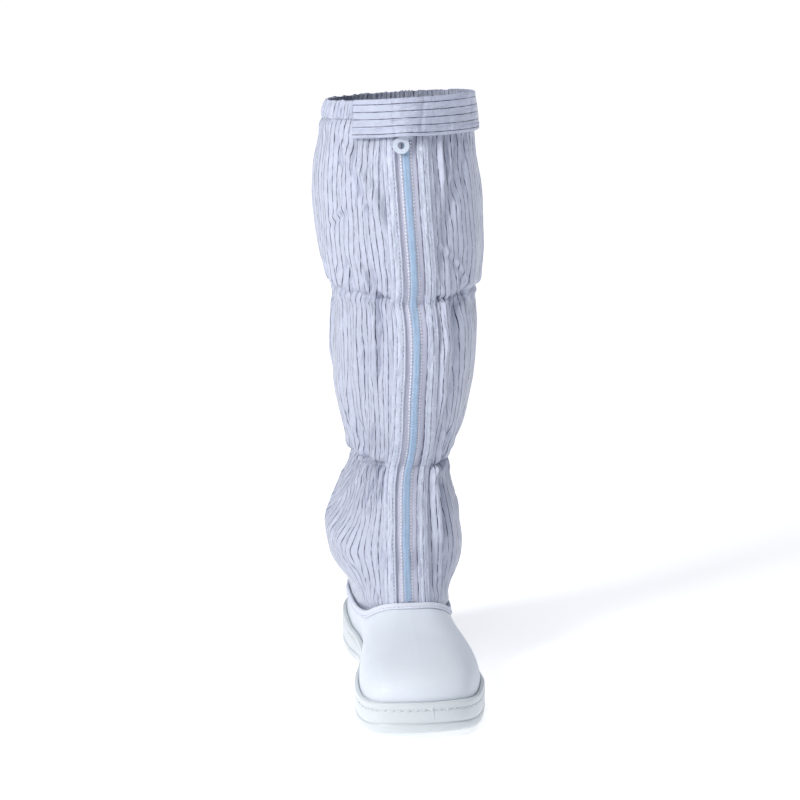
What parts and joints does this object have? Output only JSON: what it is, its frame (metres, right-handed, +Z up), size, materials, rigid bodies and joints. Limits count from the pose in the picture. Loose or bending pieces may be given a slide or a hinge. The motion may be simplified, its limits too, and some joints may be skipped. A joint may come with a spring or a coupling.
{
  "type": "cleanroom boot",
  "caption": "White closed cleanroom boot for the left foot with a striped fabric leg, front zip, elastic gathers and a hook and loop cuff strap.",
  "frame": {"origin": "on the floor under the middle of the heel", "axes": "+Z up the leg, -Y towards the toe, -X towards the inner side of the foot"},
  "size_m": [0.1233, 0.265, 0.4279],
  "materials": {
    "moulded_sole": "satin moulded white",
    "white_upper": "smooth coated white",
    "footbed": "matte grey",
    "binding": "matte woven tape",
    "striped_fabric": "pale woven cloth with fine dark stripes",
    "zip_tape": "ribbed woven tape",
    "zip_coil": "pale blue nylon",
    "pull_plastic": "milky glossy"
  },
  "bodies": {
    "root": {"sole": "moulded_sole", "insole": "footbed", "upper": "white_upper", "topline_binding": "binding", "shaft": "striped_fabric", "zip_tape_inner": "zip_tape", "zip_tape_outer": "zip_tape", "zip_coil": "zip_coil", "placket_inner": "striped_fabric", "placket_outer": "striped_fabric", "cuff_band": "striped_fabric", "cuff_strap": "striped_fabric", "zip_slider": "pull_plastic"},
    "pull": {"zip_pull": "pull_plastic"}
  },
  "joints": [
    {"name": "pull_hinge", "type": "hinge", "parent": "root", "child": "pull", "pos_m": [0.0016, -0.08668, 0.40354], "axis": [-1, 0, 0], "range_deg": [0, 20]}
  ]
}
